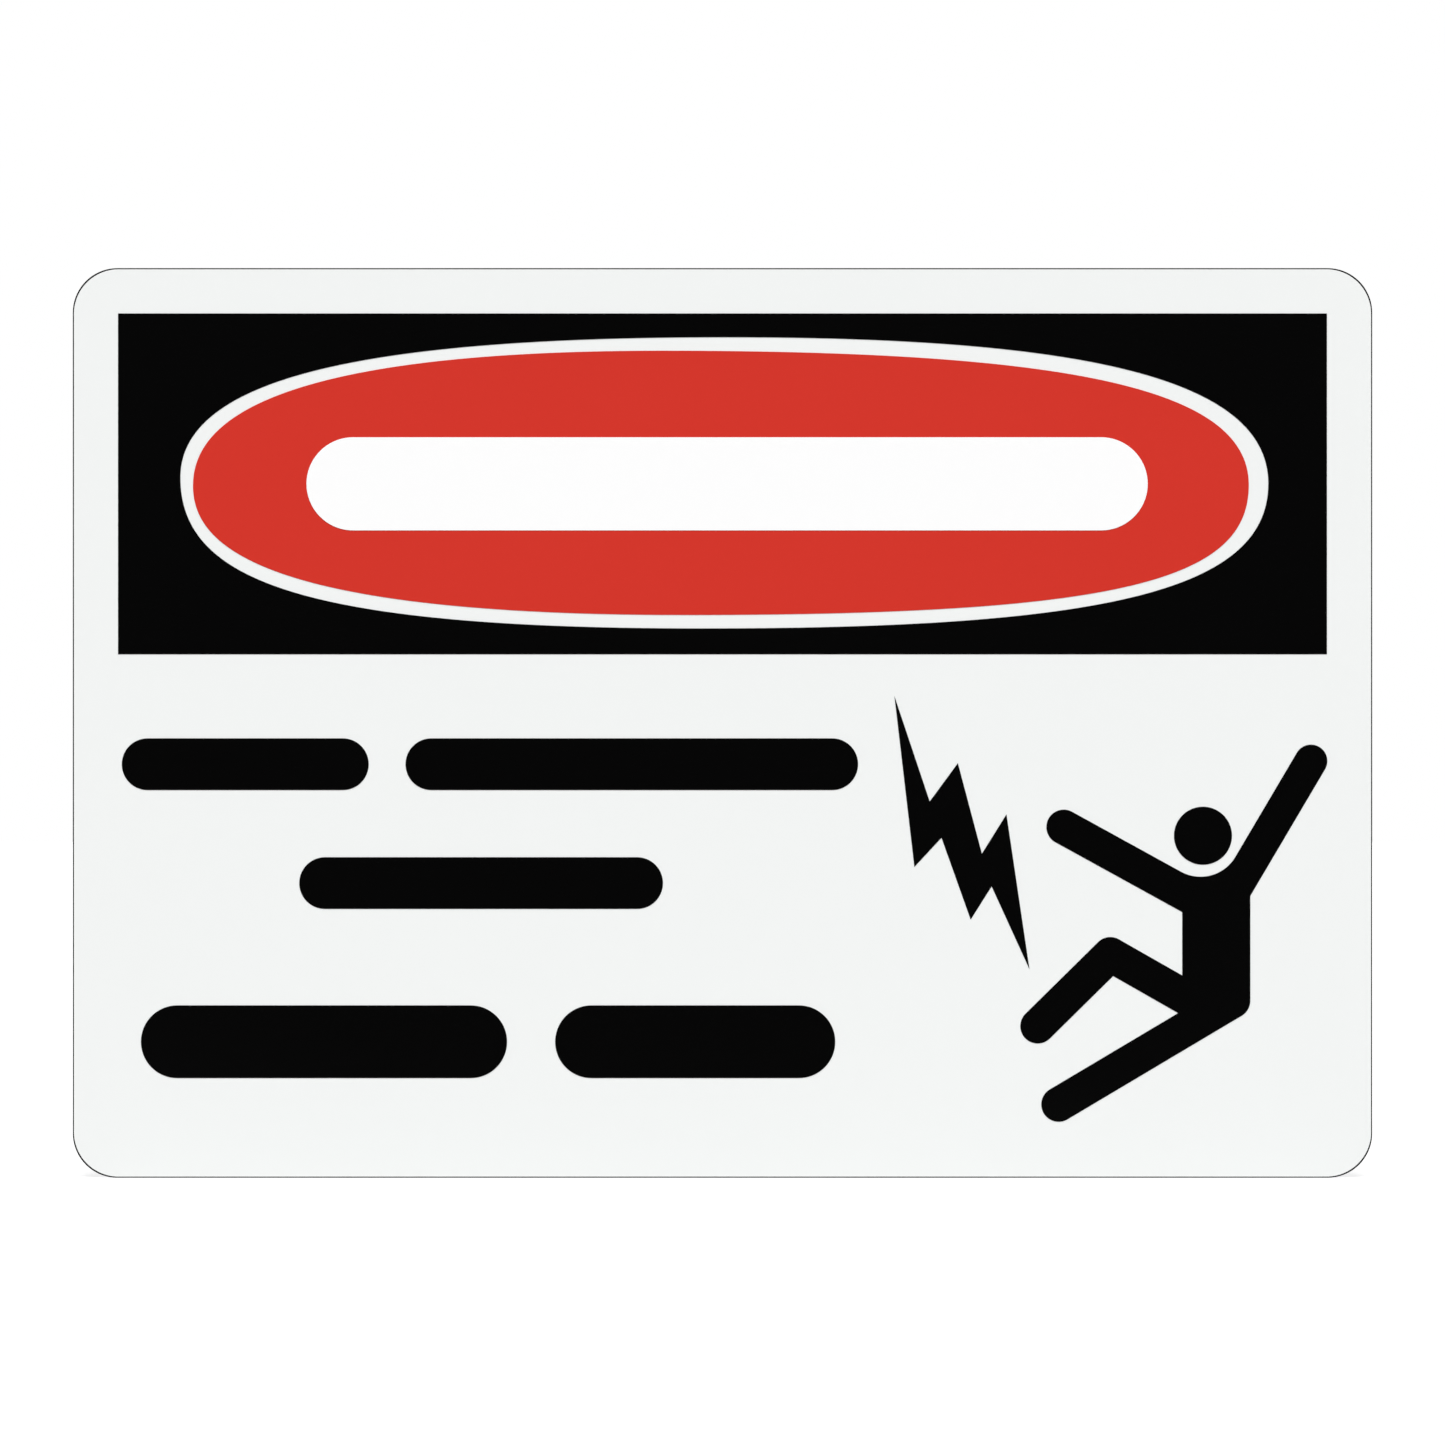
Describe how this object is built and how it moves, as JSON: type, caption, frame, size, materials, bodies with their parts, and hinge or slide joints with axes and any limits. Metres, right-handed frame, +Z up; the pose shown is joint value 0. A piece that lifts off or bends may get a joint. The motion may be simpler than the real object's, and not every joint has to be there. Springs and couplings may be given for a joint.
{
  "type": "high voltage warning sign",
  "caption": "Rectangular warning sign of coated aluminium sheet: black header with a red oval, plain message bars, a lightning bolt and a struck figure.",
  "frame": {"origin": "centre of the sheet's flat back face, which lies against what carries the sign", "axes": "+X to the viewer's right along the longer side, +Y out of the back face and away from the viewer, +Z up"},
  "size_m": [0.254, 0.0012, 0.1778],
  "materials": {
    "white_coating": "satin",
    "black_ink": "satin",
    "red_ink": "satin",
    "white_ink": "satin"
  },
  "bodies": {
    "root": {"sign_panel": "white_coating", "header_field": "black_ink", "header_oval": "red_ink", "header_bar": "white_ink", "upper_line_bar_1": "black_ink", "upper_line_bar_2": "black_ink", "middle_line_bar_1": "black_ink", "lower_line_bar_1": "black_ink", "lower_line_bar_2": "black_ink", "lightning_bolt": "black_ink", "figure_body": "black_ink", "figure_head": "black_ink"}
  },
  "joints": []
}
